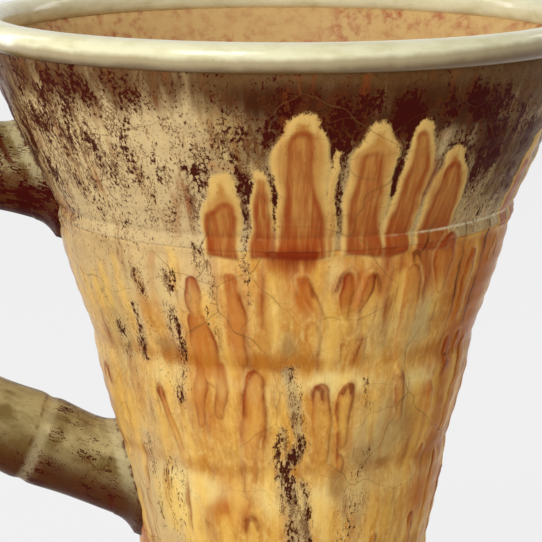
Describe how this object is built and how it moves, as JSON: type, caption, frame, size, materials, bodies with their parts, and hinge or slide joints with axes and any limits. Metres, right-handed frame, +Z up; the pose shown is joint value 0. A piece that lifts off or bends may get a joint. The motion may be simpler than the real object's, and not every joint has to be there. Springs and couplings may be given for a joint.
{
  "type": "jug vase",
  "caption": "Trumpet-shaped jug vase on a spreading foot, with a rolled lip, stepped bands, a thick loop handle with cane-like rings, and a runny drip glaze.",
  "frame": {"origin": "middle of the flat underside, on the vessel's axis", "axes": "+Z up along the vessel's axis, -X towards the handle, -Y towards the viewer of the picture"},
  "size_m": [0.2204, 0.1644, 0.272],
  "materials": {
    "lip_glaze": "gloss cream glaze",
    "stone_glaze": "gloss stone-coloured glaze with dark oxide specks",
    "honey_glaze": "gloss honey and cream drip glaze",
    "bare_clay": "unglazed fired clay"
  },
  "bodies": {
    "root": {"rim_lip": "lip_glaze", "mouth_section": "stone_glaze", "body_section": "honey_glaze", "foot_section": "honey_glaze", "base_slab": "bare_clay", "handle_bar": "stone_glaze", "upper_root_coil": "stone_glaze", "lower_root_coil": "stone_glaze"}
  },
  "joints": []
}
